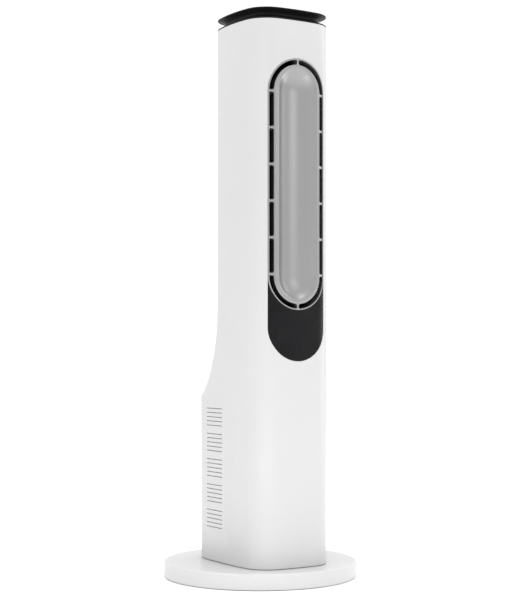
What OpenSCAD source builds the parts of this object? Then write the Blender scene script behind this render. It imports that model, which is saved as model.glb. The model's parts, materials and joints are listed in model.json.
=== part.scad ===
// Tower fan with a ring-shaped air slot round a concave insert, a waisted cap and a disc base.
// Millimetres, +Z up. The origin is on the floor, under the base disc's middle, and the outlet faces -Y.

/* [Base] */
// Diameter of the base disc
base_d = 280; // [270:1:300]
// Height of the base disc's top above the floor
base_h = 23; // [23:0.5:26]
// Wall of the moulded base cover
base_wall = 2.5; // [2:0.5:3]
// Height of the rubber feet below the cover's rim
foot_h = 0.8; // [0.8:0.2:2]

/* [Column] */
// Width of the column
col_w = 135.6; // [134:0.2:138]
// Depth of the upper column
col_d = 140.2; // [138:0.2:143]
// Radius of the column's corners
corner_r = 36.8; // [34:0.2:38]
// Radius of the column's gently bowed sides
side_r = 240; // [220:5:260]
// Radius of the column's front and rear faces, which are flatter
face_r = 310; // [290:5:330]
// How far the upper column's middle stands in front of the base's middle
col_forward = 31.2; // [30:0.2:32]
// Height of the column's bottom edge above the floor
col_z = 23.8; // [23.6:0.1:24.6]
// Height of the casing's top rim above the floor
col_top = 791.2; // [780:0.2:810]
// How far the foot of the column reaches behind the upper column
tail_depth = 48; // [44:0.5:50]
// Wall of the casing
wall = 2.4; // [2:0.2:2.6]

/* [Cap] */
// Height of the cap
cap_h = 15.8; // [14:0.2:17]
// How deep the cap's waist is
waist = 12; // [8:0.5:13]

/* [Outlet] */
// Half width of the long opening in the front
open_r = 46.8; // [46:0.2:48]
// Height of the middle of the outlet's top arc
outlet_top = 691.4; // [680:0.2:695]
// Height of the middle of the outlet's bottom arc
outlet_bottom = 432; // [428:0.2:438]
// Height of the middle of the control panel's bottom arc
panel_bottom = 360.2; // [355:0.2:365]
// Width of the air slot
slot_w = 6.6; // [5.6:0.1:7]
// Number of ribs across the slot on each side
rib_count = 6; // [4:1:8]

/* [Intake] */
// Number of slots in one group
slot_group = 5; // [4:1:6]
// Distance between two slots
slot_pitch = 6.136; // [5.8:0.002:6.2]
// Height of one slot
slot_h = 1.4; // [1.2:0.1:2.4]
// Length of a slot in the casing's sides
slot_len = 45; // [35:1:46]

/* [Drive] */
// Module of the oscillation gears
gear_module = 1.5; // [1.5:0.1:1.5]
// Teeth that a full turn of the fixed gear would have
sector_teeth = 40; // [40:1:40]
// Teeth on the motor's pinion
pinion_teeth = 12; // [12:1:12]
// Number of impeller blades
blade_count = 9; // [7:1:11]

/* [Hidden] */
$fn = 96;
eps = 0.01;
gap = 0.3;
screw_r = 1.2;
thread_r = 1.25;

// The column's cross-section: four bowed faces and four tangent corner arcs, round [0, -col_forward].
side_flat = 2;
half_w = col_w / 2;
half_d = col_d / 2 - side_flat / 2;
side_c = [half_w - side_r, 0];
face_c = [0, half_d - face_r];
centre_gap = norm(face_c - side_c);
gap_way = (face_c - side_c) / centre_gap;
side_reach = side_r - corner_r;
face_reach = face_r - corner_r;
corner_way = (pow(side_reach, 2) - pow(face_reach, 2) + pow(centre_gap, 2)) / (2 * centre_gap);
corner_c = side_c + corner_way * gap_way
    + sqrt(pow(side_reach, 2) - pow(corner_way, 2)) * [-gap_way.y, gap_way.x];
side_turn = atan2(corner_c.y, corner_c.x - side_c.x);
face_turn = atan2(corner_c.y - face_c.y, corner_c.x);

// The tail's curve is a quarter ellipse from the rear face at flare_top to the foot's upright back.
flare_top = 400;
flare_rise = 150;
flare_run = 79;
tail_round = 5;
flare_z = flare_top - flare_rise * sqrt(1 - pow(1 - tail_depth / flare_run, 2));

front_y = -col_forward - col_d / 2;
rear_y = -col_forward + col_d / 2;

rim_w = 2;
slot_in_r = open_r - rim_w - slot_w;
slot_out_r = slot_in_r + slot_w;
insert_r = slot_in_r;
rib_low = outlet_bottom + 3.2;
rib_pitch = (outlet_top - 1 - rib_low) / (rib_count - 1);
rib_h = 3;

duct_skin = 5.5;
duct_wall = 2;
duct_front = front_y + 17;
duct_top = 765;

slot_rows = 5 * slot_group + 4;
slot_top_z = 244.5;
slot_y = -5;
rear_slot_len = 52;

blower_y = -6;
deck_z = 250;
deck_t = 3;

pivot_r = 14;
well_r = 51;
floor_z = 25;
floor_t = 3;
gear_d = gear_module * (sector_teeth + pinion_teeth) / 2;
gear_z = 8;
gear_t = 6;
pinion_bore = 2.5;
shaft_r = 2.5;

foot_y = rear_y + tail_depth;

// ---- outline helpers ----

function arc(c, r, a, b, n) =
    [for (i = [0:n]) let (t = a + (b - a) * i / n) c + r * [cos(t), sin(t)]];

// A point of the first quarter of the cross-section, set in by t, where the outline faces the angle a.
function quarter_point(a, t) =
    a < side_turn ? side_c + (side_r - t) * [cos(a), sin(a)]
    : a < face_turn ? corner_c + (corner_r - t) * [cos(a), sin(a)]
    : face_c + (face_r - t) * [cos(a), sin(a)];

// A station is [angle, half]: half is 1 behind and -1 in front. The rear half moves back by s.
function outline_point(p, t, s) =
    let (q = quarter_point(asin(abs(sin(p[0]))), t))
    [sign(round(cos(p[0]) * 1e6)) * q.x, -col_forward + p[1] * (side_flat / 2 + q.y) + (p[1] > 0 ? s : 0)];

quarter_angles = concat(
    [for (i = [0:2]) side_turn * i / 3],
    [for (i = [0:7]) side_turn + (face_turn - side_turn) * i / 8],
    [for (i = [0:2]) face_turn + (90 - face_turn) * i / 3]
);
half_angles = concat(
    quarter_angles, [90],
    [for (i = [len(quarter_angles) - 1:-1:0]) 180 - quarter_angles[i]]
);
full_path = concat(
    [for (a = half_angles) [a, 1]],
    [for (i = [len(half_angles) - 1:-1:0]) [half_angles[i], -1]]
);
seam_angle = (side_turn + face_turn) / 2;
rear_path = [for (a = half_angles) if (a > seam_angle - eps && a < 180 - seam_angle + eps) [a, 1]];
front_path = concat(
    [for (a = half_angles) if (a > 180 - seam_angle - eps) [a, 1]],
    [for (i = [len(half_angles) - 1:-1:0]) [half_angles[i], -1]],
    [for (a = half_angles) if (a < seam_angle + eps) [a, 1]]
);

function outline(t, s = 0) = [for (p = full_path) outline_point(p, t, s)];

function soft_min(a, b, k) = min(a, b) - pow(max(k - abs(a - b), 0), 2) / (4 * k);
function flare(z) =
    let (h = min(max(flare_top - z, 0), flare_rise))
    flare_run * (1 - sqrt(1 - pow(h / flare_rise, 2)));
function tail(z) = soft_min(flare(z), tail_depth, tail_round);

flare_levels = concat(
    [for (dz = [-10, -5, -2, 0.5]) flare_z + dz],
    [for (u = [64:-8:0]) flare_top - flare_rise * sin(u)]
);

function stadium(r, z0, z1, n = 32) = concat(arc([0, z1], r, 0, 180, n), arc([0, z0], r, 180, 360, n));

// ---- solids from rings ----

// A solid through rings that turn anticlockwise seen from above, lowest first.
module skin(rings) {
    n = len(rings[0]);
    m = len(rings);
    polyhedron(
        points = [for (r = rings) each r],
        faces = concat(
            [[for (i = [0:n - 1]) i]],
            [[for (i = [n - 1:-1:0]) (m - 1) * n + i]],
            [for (k = [0:m - 2], i = [0:n - 1])
                [k * n + i, (k + 1) * n + i, (k + 1) * n + (i + 1) % n, k * n + (i + 1) % n]]
        )
    );
}

// A wall of thickness t along part of the outline, standing through the levels zs.
module wall_band(path, zs, t) {
    n = len(path);
    w = 2 * n;
    m = len(zs);
    rings = [for (z = zs) concat(
        [for (p = path) concat(outline_point(p, 0, tail(z)), z)],
        [for (i = [n - 1:-1:0]) concat(outline_point(path[i], t, tail(z)), z)]
    )];
    polyhedron(
        points = [for (r = rings) each r],
        faces = concat(
            [for (i = [0:n - 2]) [i, i + 1, w - 2 - i, w - 1 - i]],
            [for (i = [0:n - 2]) let (b = (m - 1) * w) [b + w - 1 - i, b + w - 2 - i, b + i + 1, b + i]],
            [for (k = [0:m - 2], i = [0:w - 1])
                [k * w + i, (k + 1) * w + i, (k + 1) * w + (i + 1) % w, k * w + (i + 1) % w]]
        )
    );
}

// A solid that fills the tailed column, set in by t, through the levels zs.
module tailed_solid(t, zs) {
    skin([for (z = zs) [for (p = outline(t, tail(z))) concat(p, z)]]);
}

// A plate of the column's cross-section with its rear half moved back by s.
module plate(t, s, z, h) {
    translate([0, 0, z]) linear_extrude(h) polygon(outline(t, s));
}

// A 2D shape drawn as [x, height], standing from y0 towards the rear for a length of d.
module facing_front(y0, d) {
    translate([0, y0 + d, 0]) rotate([90, 0, 0]) linear_extrude(d) children();
}

module ring(r1, r2, z, h) {
    translate([0, 0, z]) difference() {
        cylinder(r = r2, h = h);
        translate([0, 0, -1]) cylinder(r = r1, h = h + 2);
    }
}

module around(n, r, start = 0) {
    for (i = [0:n - 1]) rotate([0, 0, start + i * 360 / n]) translate([r, 0, 0]) children();
}

// A pan-head screw whose head rests at z = 0 and whose shank runs down for a length of l.
module screw(r, l) {
    rotate_extrude() polygon([[0, -l], [r * 0.7, -l], [r, -l + r], [r, 0], [r * 1.9, 0], [r * 1.9, r * 0.7],
        [r * 1.4, r * 1.2], [0, r * 1.2]]);
}

// ---- involute gears ----

function inv(a) = tan(a) * 180 / PI - a;
function flank(teeth, r, slack) =
    let (rp = gear_module * teeth / 2, rb = rp * cos(20))
    90 / teeth - slack * 90 / (PI * rp) + inv(20) - inv(acos(min(1, rb / max(r, rb))));
function tooth(teeth, slack, a) =
    let (
        rp = gear_module * teeth / 2,
        root = rp - 1.25 * gear_module,
        tip = rp + gear_module,
        foot = max(root, rp * cos(20)),
        rs = [root, foot, (foot * 2 + tip) / 3, (foot + tip * 2) / 3, tip]
    )
    concat(
        [for (r = rs) let (t = a - flank(teeth, r, slack)) r * [cos(t), sin(t)]],
        [for (i = [4:-1:0]) let (t = a + flank(teeth, rs[i], slack)) rs[i] * [cos(t), sin(t)]]
    );
gear_slack = 0.35;

// ---- base ----

screw_ring_r = 130.5;
foot_ring_r = 112;
screw_n = 6;
post_flange_r = 27;
plate_t = 2.5;
plate_top = foot_h + plate_t;
inlet_z = 12;
inlet_face = 137;
inlet_d = 22;
socket_w = 14.6;
socket_h = 8.4;
socket_d = 13;
pin_x = 4.3;
pin_r = 1.1;

module base_cover() {
    r = base_d / 2;
    e = 2;
    color("white") difference() {
        union() {
            rotate_extrude($fn = 180) polygon(concat(
                [[well_r, base_h]], [[well_r, base_h - base_wall]],
                [[r - base_wall, base_h - base_wall]], [[r - base_wall, foot_h]],
                arc([r - 0.8, foot_h + 0.8], 0.8, 270, 360, 3),
                arc([r - e, base_h - e], e, 0, 90, 6)
            ));
            around(screw_n, screw_ring_r) translate([0, 0, plate_top])
                cylinder(r = 4, h = base_h - base_wall - plate_top + eps, $fn = 32);
        }
        around(screw_n, screw_ring_r) translate([0, 0, plate_top - 1]) cylinder(r = 1.5, h = 12, $fn = 32);
        translate([-9.3, inlet_face - 6, inlet_z - 6.3]) cube([18.6, 12, 12.6]);
    }
}

module base_plate() {
    color("dimgray") difference() {
        translate([0, 0, foot_h]) cylinder(r = base_d / 2 - base_wall - gap, h = plate_t, $fn = 180);
        around(screw_n, screw_ring_r) translate([0, 0, foot_h - 1]) cylinder(r = 1.7, h = 5, $fn = 32);
        around(3, 22, 90) translate([0, 0, foot_h - 1]) cylinder(r = 1.6, h = 5, $fn = 32);
    }
}

module ballast_weight() {
    color("gray") difference() {
        ring(75, 125, plate_top, 7);
        translate([-40, 70, 0]) cube([80, 60, 20]);
    }
}

module rubber_feet() {
    color("black") around(screw_n, foot_ring_r, 30) cylinder(r = 9, h = foot_h, $fn = 48);
}

module base_screws() {
    color("silver") around(screw_n, screw_ring_r)
        translate([0, 0, foot_h]) mirror([0, 0, 1]) rotate_extrude($fn = 32)
            polygon([[0, -9], [1, -9], [1.45, -8], [1.45, 0], [3, 0], [3, 0.7], [0, 0.7]]);
}

module power_inlet() {
    color("black") translate([0, inlet_face, inlet_z]) difference() {
        union() {
            translate([-13, -inlet_d, -7.5]) cube([26, inlet_d - base_wall - 2, 15]);
            translate([-9, -8, -6]) cube([18, 8, 12]);
        }
        translate([-(socket_w - socket_h) / 2, -socket_d, -socket_h / 2])
            cube([socket_w - socket_h, socket_d + 1, socket_h]);
        for (x = [-1, 1]) translate([x * (socket_w - socket_h) / 2, 1, 0])
            rotate([90, 0, 0]) cylinder(r = socket_h / 2, h = socket_d + 1, $fn = 48);
        for (x = [-1, 1]) translate([x * pin_x, 0, 0])
            rotate([90, 0, 0]) cylinder(r = pin_r, h = inlet_d + 5, $fn = 32);
    }
}

module inlet_pins() {
    color("silver") translate([0, inlet_face, inlet_z]) for (x = [-1, 1])
        translate([x * pin_x, -3.5, 0]) rotate([90, 0, 0]) cylinder(r = pin_r, h = inlet_d + 2, $fn = 32);
}

module power_board() {
    color("green") difference() {
        translate([-36, 78, 6]) cube([72, 32, 1.6]);
        for (x = [-32, 32], y = [82, 106]) translate([x, y, 0]) cylinder(r = 1.6, h = 20, $fn = 32);
    }
}

module power_board_parts() {
    color("gold") {
        translate([-30, 86, 7.6]) cube([18, 16, 11]);
        for (x = [0, 12]) translate([x, 95, 7.6]) cylinder(r = 5, h = 12, $fn = 48);
        translate([20, 84, 7.6]) cube([10, 18, 9]);
    }
    color("dimgray") for (x = [-32, 32], y = [82, 106])
        translate([x, y, 0]) ring(1.6, 3, plate_top, 6 - plate_top);
}

module pivot_post() {
    color("gray") difference() {
        union() {
            translate([0, 0, plate_top]) cylinder(r = post_flange_r, h = gear_z - plate_top);
            translate([0, 0, plate_top]) cylinder(r = pivot_r, h = 36.2 - plate_top);
        }
        translate([0, 0, plate_top - 1]) cylinder(r = 8, h = 50);
        around(3, 22, 90) translate([0, 0, plate_top - 1]) cylinder(r = 1.6, h = 10, $fn = 32);
        around(3, 11, 30) translate([0, 0, 24.2]) cylinder(r = 1, h = 20, $fn = 32);
    }
}

module sector_gear() {
    n = sector_teeth;
    first = 90 - 7 * 360 / n;
    root = gear_module * n / 2 - 1.25 * gear_module;
    color("ivory") difference() {
        translate([0, 0, gear_z]) linear_extrude(gear_t) polygon(concat(
            [for (i = [0:14]) each tooth(n, gear_slack / 2, first + i * 360 / n)],
            arc([0, 0], root, first + 14.6 * 360 / n, first - 0.6 * 360 / n + 360, 20)
        ));
        translate([0, 0, gear_z - 1]) cylinder(r = pivot_r + 5.6, h = gear_t + 2);
        around(3, 22, 90) translate([0, 0, gear_z - 1]) cylinder(r = 1.6, h = 10, $fn = 32);
    }
}

module pivot_screws() {
    color("silver") around(3, 22, 90) translate([0, 0, gear_z + gear_t]) rotate_extrude($fn = 32)
        polygon([[0, -12.5], [1.6, -12.5], [1.6, 0], [2.3, 0], [2.3, 1.2], [0, 1.2]]);
}

module glide_ring() {
    color("ivory") ring(well_r + 1, well_r + 8, base_h, floor_z - 0.1 - base_h);
}

module retaining_plate() {
    color("silver") difference() {
        ring(8, 18.6, 36.2, 2);
        around(3, 11, 30) translate([0, 0, 30]) cylinder(r = 1.5, h = 20, $fn = 32);
    }
}

module retainer_screws() {
    color("silver") around(3, 11, 30) translate([0, 0, 38.2]) rotate_extrude($fn = 32)
        polygon([[0, -13], [1, -13], [1, -2], [1.5, -2], [1.5, 0], [2.6, 0], [2.6, 1.6], [0, 1.6]]);
}

// ---- column chassis ----

hub_r = 18.6;
hub_top = 36;
board_posts = [for (x = [-38, 38], y = [-84, -34]) [x, y]];
osc_ears = 22.5;
foot_screw_x = 24;
foot_screw_z = 45;
foot_seat_y = foot_y - 2.5;
top_screw_x = 22;
top_screw_z = 756;
top_seat_y = rear_y - 2.4;

module column_floor() {
    color("whitesmoke") difference() {
        union() {
            plate(wall + 0.2, tail_depth, floor_z, floor_t);
            translate([0, 0, gear_z + gear_t + 2]) cylinder(r = hub_r, h = hub_top - gear_z - gear_t - 2);
            for (p = board_posts) translate([p.x, p.y, floor_z]) cylinder(r = 3.5, h = 13, $fn = 32);
            for (x = [-1, 1]) translate([x * foot_screw_x - 6, foot_y - 18, floor_z]) cube([12, 12.4, 30]);
        }
        translate([0, 0, 0]) cylinder(r = pivot_r + 0.05, h = 60);
        translate([0, gear_d, floor_z - 1]) cylinder(r = 6, h = 10);
        for (x = [-1, 1]) translate([x * osc_ears, gear_d, floor_z - 1])
            cylinder(r = thread_r, h = 10, $fn = 32);
        for (p = board_posts) translate([p.x, p.y, floor_z + 4]) cylinder(r = thread_r, h = 10, $fn = 32);
        for (x = [-1, 1]) translate([x * foot_screw_x, foot_y, foot_screw_z]) rotate([90, 0, 0])
            cylinder(r = thread_r, h = 17, $fn = 32);
    }
}

module side_slots() {
    for (i = [0:slot_rows - 1]) if (i % (slot_group + 1) != slot_group)
        translate([-half_w - 1, slot_y, slot_top_z - i * slot_pitch - slot_h / 2])
            cube([col_w + 2, slot_len, slot_h]);
}

module rear_slots() {
    for (i = [0:slot_rows - 1]) if (i % (slot_group + 1) != slot_group)
        translate([-rear_slot_len / 2, foot_y - 8, slot_top_z - i * slot_pitch - slot_h / 2])
            cube([rear_slot_len, 12, slot_h]);
}

module front_casing() {
    color("white") difference() {
        wall_band(front_path, concat([col_z], flare_levels, [col_top]), wall);
        facing_front(front_y - 5, 30) polygon(stadium(open_r, panel_bottom, outlet_top));
        side_slots();
    }
}

module rear_casing() {
    color("white") difference() {
        wall_band(rear_path, concat([col_z], flare_levels, [col_top]), wall);
        rear_slots();
        at_foot_screws() screw_seat();
        at_top_screws() screw_seat();
    }
}

module at_foot_screws() {
    for (x = [-1, 1]) translate([x * foot_screw_x, foot_seat_y, foot_screw_z]) rotate([-90, 0, 0]) children();
}

module at_top_screws() {
    for (x = [-1, 1]) translate([x * top_screw_x, top_seat_y, top_screw_z]) rotate([-90, 0, 0]) children();
}

// The counterbore and through-hole of a sunk screw whose head rests at z = 0.
module screw_seat() {
    cylinder(r = 2.6, h = 6, $fn = 32);
    translate([0, 0, -3]) cylinder(r = 1.4, h = 4, $fn = 32);
}

module casing_screws() {
    color("silver") {
        at_foot_screws() screw(screw_r, 14);
        at_top_screws() screw(screw_r, 11);
    }
}

// ---- cap ----

cap_lip = 0.3;
cap_z = col_top + cap_lip;

module at_cap_screws() {
    for (x = [-1, 1], y = [-1, 1]) translate([x * 30, -col_forward + y * 30, 0]) children();
}

module top_cap() {
    flange = 1.6;
    neck = cap_h - cap_lip - 2 * flange;
    levels = concat(
        [[0, 0.5], [0.5, 0], [flange - 0.5, 0], [flange, 0.5]],
        [for (a = [-75:25:75]) [flange + neck / 2 * (1 + sin(a)), waist * cos(a)]],
        [[flange + neck, 0.5], [flange + neck + 0.5, 0], [cap_h - cap_lip - 0.7, 0], [cap_h - cap_lip, 1]]
    );
    color("black") difference() {
        skin([for (l = levels) [for (p = outline(l[1])) concat(p, cap_z + l[0])]]);
        difference() {
            plate(waist + 2.5, 0, cap_z - 1, cap_h - cap_lip - 1.6);
            at_cap_screws() translate([0, 0, cap_z - 2]) cylinder(r = 4, h = cap_h, $fn = 32);
        }
        at_cap_screws() translate([0, 0, cap_z - 1]) cylinder(r = thread_r, h = 10, $fn = 32);
    }
}

module top_plate() {
    color("dimgray") difference() {
        plate(wall + 0.2, 0, col_top - 3.5, 3.5);
        at_cap_screws() translate([0, 0, col_top - 10]) cylinder(r = 1.6, h = 20, $fn = 32);
    }
}

module cap_screws() {
    color("silver") at_cap_screws() translate([0, 0, col_top - 3.5]) mirror([0, 0, 1]) screw(screw_r, 11);
}

// ---- outlet ----

frame_depth = 16;
carrier_back = front_y + 40;
dish_r = 48;
dish_depth = 14.5;
insert_depth = 20;
insert_wall = 2.2;

// The space inside the column's front face, set in by t.
module front_space(t, z0, z1) {
    plate(t, 0, z0, z1 - z0);
}

module rib_bars() {
    mid = slot_in_r + slot_w / 2;
    for (i = [0:rib_count - 1], x = [-1, 1])
        translate([x * mid - slot_w / 2 - 0.6, front_y, rib_low + i * rib_pitch - rib_h / 2])
            cube([slot_w + 1.2, frame_depth + 10, rib_h]);
    for (z = [outlet_bottom - mid, outlet_top + mid])
        translate([-rib_h / 2, front_y, z - slot_w / 2 - 0.6]) cube([rib_h, frame_depth + 10, slot_w + 1.2]);
}

module outlet_frame() {
    color("silver") intersection() {
        union() {
            facing_front(front_y - 1, frame_depth) difference() {
                polygon(stadium(open_r - 0.2, outlet_bottom, outlet_top));
                polygon(stadium(slot_out_r, outlet_bottom, outlet_top));
            }
            intersection() {
                rib_bars();
                facing_front(front_y - 1, frame_depth) difference() {
                    polygon(stadium(slot_out_r + 0.5, outlet_bottom, outlet_top));
                    polygon(stadium(slot_in_r, outlet_bottom, outlet_top));
                }
                front_space(1.2, outlet_bottom - 60, outlet_top + 60);
            }
        }
        front_space(0.1, outlet_bottom - 60, outlet_top + 60);
    }
}

module outlet_insert() {
    color("silver") difference() {
        intersection() {
            facing_front(front_y - 1, insert_depth + 1) polygon(stadium(insert_r, outlet_bottom, outlet_top));
            front_space(0.6, outlet_bottom - 60, outlet_top + 60);
        }
        dish(dish_r);
        difference() {
            facing_front(front_y - 1, insert_depth + 2)
                polygon(stadium(insert_r - insert_wall, outlet_bottom, outlet_top));
            dish(dish_r + insert_wall);
        }
    }
}

// The pill-shaped space that hollows the insert's front.
module dish(r) {
    translate([0, front_y - dish_r + dish_depth, 0]) rotate_extrude() polygon(concat(
        arc([0, outlet_bottom], r, 270, 360, 12),
        arc([0, outlet_top], r, 0, 90, 12)
    ));
}

module insert_carrier() {
    color("black") difference() {
        facing_front(front_y + 20, carrier_back - front_y - 20)
            polygon(stadium(insert_r - 0.1, outlet_bottom, outlet_top));
        facing_front(front_y + 19, carrier_back - front_y - 21)
            polygon(stadium(insert_r - 2.1, outlet_bottom, outlet_top));
    }
}

module slot_lining() {
    color("black") facing_front(front_y + frame_depth, duct_front - front_y - frame_depth + duct_wall)
        difference() {
            polygon(stadium(open_r - 0.2, outlet_bottom, outlet_top));
            polygon(stadium(slot_out_r, outlet_bottom, outlet_top));
        }
}

// ---- control panel ----

panel_t = 2.4;
panel_in = 0.5;

module panel_shape(r) {
    difference() {
        polygon(concat(arc([0, panel_bottom], r, 180, 360, 32), [[r, outlet_bottom], [-r, outlet_bottom]]));
        polygon(arc([0, outlet_bottom], open_r, 0, 360, 64));
    }
}

module control_panel() {
    color("black") difference() {
        intersection() {
            facing_front(front_y - 1, 20) panel_shape(open_r - 0.3);
            plate(panel_in, 0, panel_bottom - 60, 140);
        }
        plate(panel_in + panel_t, 0, panel_bottom - 60, 140);
    }
}

board_y = front_y + 10;
board_t = 1.2;
lamp_screw_x = 34;
lamp_screw_z = panel_bottom - 4;

module display_board() {
    color("green") facing_front(board_y, board_t) difference() {
        panel_shape(open_r - 6);
        for (x = [-1, 1]) translate([x * lamp_screw_x, lamp_screw_z]) circle(r = 1.6, $fn = 32);
    }
}

module display_screws() {
    color("silver") for (x = [-1, 1]) translate([x * lamp_screw_x, board_y, lamp_screw_z])
        rotate([90, 0, 0]) screw(screw_r, 9);
}

module display_lamps() {
    color("white") for (x = [-22, -12, -2, 8], z = [348, 362])
        translate([x, board_y - 2, z]) cube([7, 2, 10]);
}

module display_cable() {
    color("gray") translate([-7, 0, 0]) rotate([90, 0, 90]) linear_extrude(14) polygon([
        [-70, 39.6], [-70, 40.4], [-93.5, 46], [-93.5, 312], [board_y - 0.7, 318], [board_y - 0.7, 338],
        [board_y, 338], [board_y, 317.6], [-92.8, 311.6], [-92.8, 46.4], [-70, 41.1], [-69.3, 41.1],
        [-69.3, 39.6]
    ]);
}

// ---- air duct and blower ----

duct_levels = concat(
    [deck_z + deck_t + 5],
    [for (z = flare_levels) if (z > deck_z + deck_t + 7) z],
    [duct_top]
);

module duct_space(t, front, z_add) {
    intersection() {
        tailed_solid(t, [for (i = [0:len(duct_levels) - 1])
            duct_levels[i] - (i == 0 ? z_add : 0) - (i == len(duct_levels) - 1 ? z_add : 0)]);
        translate([-100, front, 0]) cube([200, 300, 1000]);
    }
}

module air_duct() {
    color("dimgray") difference() {
        union() {
            duct_space(duct_skin, duct_front, 0);
            plate(wall + 1, tail_depth - 12, deck_z + deck_t, 5);
            for (x = [-1, 1]) translate([x * top_screw_x - 5, rear_y - 14, top_screw_z - 8])
                cube([10, 8.6, 16]);
            for (x = [-1, 1]) translate([x * lamp_screw_x, duct_front, lamp_screw_z]) rotate([90, 0, 0])
                cylinder(r = 3, h = duct_front - board_y - board_t, $fn = 32);
        }
        duct_space(duct_skin + duct_wall, duct_front + duct_wall, 2);
        translate([0, blower_y, deck_z]) cylinder(r = 54, h = 12);
        facing_front(duct_front - 2, 8) polygon(stadium(open_r, outlet_bottom, outlet_top));
        for (x = [-1, 1]) translate([x * top_screw_x, rear_y + 1, top_screw_z]) rotate([90, 0, 0])
            cylinder(r = thread_r, h = 18, $fn = 32);
        for (x = [-1, 1]) translate([x * lamp_screw_x, duct_front + 4, lamp_screw_z]) rotate([90, 0, 0])
            cylinder(r = thread_r, h = 20, $fn = 32);
        translate([-10, front_y, deck_z]) cube([20, 10, 12]);
    }
}

module blower_deck() {
    color("dimgray") difference() {
        plate(wall + 0.2, tail_depth - 2, deck_z, deck_t);
        translate([0, blower_y, deck_z - 1]) cylinder(r = 54, h = 10);
        translate([-10, front_y, deck_z - 1]) cube([20, 10, 12]);
    }
}

house_r = 56;
house_wall = 1.8;
house_flange_z = deck_z - 6;

module blower() {
    translate([0, blower_y, 0]) children();
}

module impeller_housing() {
    color("gray") blower() difference() {
        rotate_extrude() polygon([
            [42, 116], [42 + house_wall, 116], [54 + house_wall, 150], [house_r + house_wall, 158],
            [house_r + house_wall, house_flange_z - 2], [62.4, house_flange_z - 2], [62.4, house_flange_z],
            [house_r, house_flange_z], [house_r, 158], [54, 151]
        ]);
        around(4, 59.9, 45) translate([0, 0, house_flange_z - 5]) cylinder(r = 1.6, h = 10, $fn = 32);
    }
}

module isolators() {
    color("black") blower() around(4, 59.9, 45)
        ring(1.2, 2.3, house_flange_z, deck_z - house_flange_z);
}

module inlet_bell() {
    color("gray") blower() rotate_extrude() polygon(concat(
        [[42, 115.8]],
        arc([52, 112], 10, 180, 300, 10), arc([52, 112], 8.2, 300, 180, 10),
        [[43.8, 115.8]]
    ));
}

module blade_space() {
    rotate_extrude() polygon([[17, 118], [41, 118], [53.2, 150], [34, 150]]);
}

module impeller() {
    color("lightgray") blower() difference() {
        union() {
            rotate_extrude() polygon([
                [0, 114], [10, 114], [16, 117], [22, 126], [29, 138], [36, 150], [36, 152],
                [33, 152], [26, 140], [18, 128], [8, 126], [8, 152], [0, 152]
            ]);
            for (i = [0:blade_count - 1]) intersection() {
                blade_space();
                rotate([0, 0, i * 360 / blade_count]) translate([12, 0, 134]) rotate([38, 0, 0])
                    translate([0, -0.9, -32]) cube([46, 1.8, 64]);
            }
        }
        translate([0, 0, 100]) cylinder(r = shaft_r, h = 100, $fn = 32);
    }
}

module impeller_nut() {
    color("silver") blower() difference() {
        translate([0, 0, 109.5]) cylinder(r = 5, h = 4.5, $fn = 6);
        translate([0, 0, 100]) cylinder(r = shaft_r + 0.02, h = 20, $fn = 32);
    }
}

motor_z = 160;

module motor_shaft() {
    color("silver") blower() translate([0, 0, 107]) cylinder(r = shaft_r, h = 76, $fn = 32);
}

module rotor_bell() {
    color("gray") blower() rotate_extrude() polygon([
        [shaft_r, 153], [8, 153], [8, motor_z], [24, motor_z], [24, motor_z + 22], [22, motor_z + 22],
        [22, motor_z + 2], [shaft_r, motor_z + 2]
    ]);
}

module magnet_ring() {
    color("dimgray") blower() ring(20.6, 22, motor_z + 3, 18);
}

module stator_core() {
    color("silver") blower() {
        ring(7.85, 10.5, motor_z + 5, 13);
        for (i = [0:8]) rotate([0, 0, i * 40]) translate([9, -1.4, motor_z + 5]) cube([9, 2.8, 13]);
        intersection() {
            ring(17.2, 20, motor_z + 5, 13);
            for (i = [0:8]) rotate([0, 0, i * 40]) translate([16, -5, motor_z + 5]) cube([6, 10, 13]);
        }
    }
}

module stator_windings() {
    color("orange") blower() for (i = [0:8]) rotate([0, 0, i * 40]) difference() {
        translate([12.2, -3, motor_z + 4]) cube([4.6, 6, 15]);
        translate([12, -1.5, motor_z + 4.9]) cube([5, 3, 13.2]);
    }
}

module motor_bearings() {
    color("silver") blower() for (z = [motor_z + 4, motor_z + 16]) ring(shaft_r + 0.05, 6, z, 4);
}

module motor_mount() {
    color("gold") blower() difference() {
        union() {
            ring(6, 7.8, motor_z + 3.5, 21.5);
            translate([0, 0, motor_z + 25]) cylinder(r = 28, h = 3);
        }
        around(3, 24, 60) translate([0, 0, motor_z + 20]) cylinder(r = thread_r, h = 20, $fn = 32);
    }
}

module mount_screws() {
    color("silver") blower() around(3, 24, 60) translate([0, 0, motor_z + 31]) screw(screw_r, 7);
}

module diffuser() {
    color("lightgray") blower() union() {
        rotate_extrude() polygon([
            [30, 155], [34, 155], [34, 158], [32, 164], [32, 232], [30, 232]
        ]);
        ring(53.6, house_r - 0.1, 192, 30);
        difference() {
            ring(18, 31, motor_z + 28, 3);
            around(3, 24, 60) translate([0, 0, motor_z]) cylinder(r = 1.6, h = 50, $fn = 32);
        }
        for (i = [0:10]) intersection() {
            ring(31.5, 54, 192, 30);
            rotate([0, 0, i * 360 / 11]) translate([31, 0, 207]) rotate([-22, 0, 0])
                translate([0, -0.8, -20]) cube([24, 1.6, 40]);
        }
    }
}

module motor_cover() {
    color("lightgray") blower() rotate_extrude() polygon(concat(
        [[32, 232]], arc([0, 228], 32, 8, 90, 10), arc([0, 228], 30, 90, 8, 10), [[30, 232]]
    ));
}

// ---- electronics in the foot ----

module main_board() {
    color("green") difference() {
        translate([-42, -88, floor_z + 13]) cube([84, 58, 1.6]);
        for (p = board_posts) translate([p.x, p.y, floor_z]) cylinder(r = 1.6, h = 30, $fn = 32);
    }
}

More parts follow.
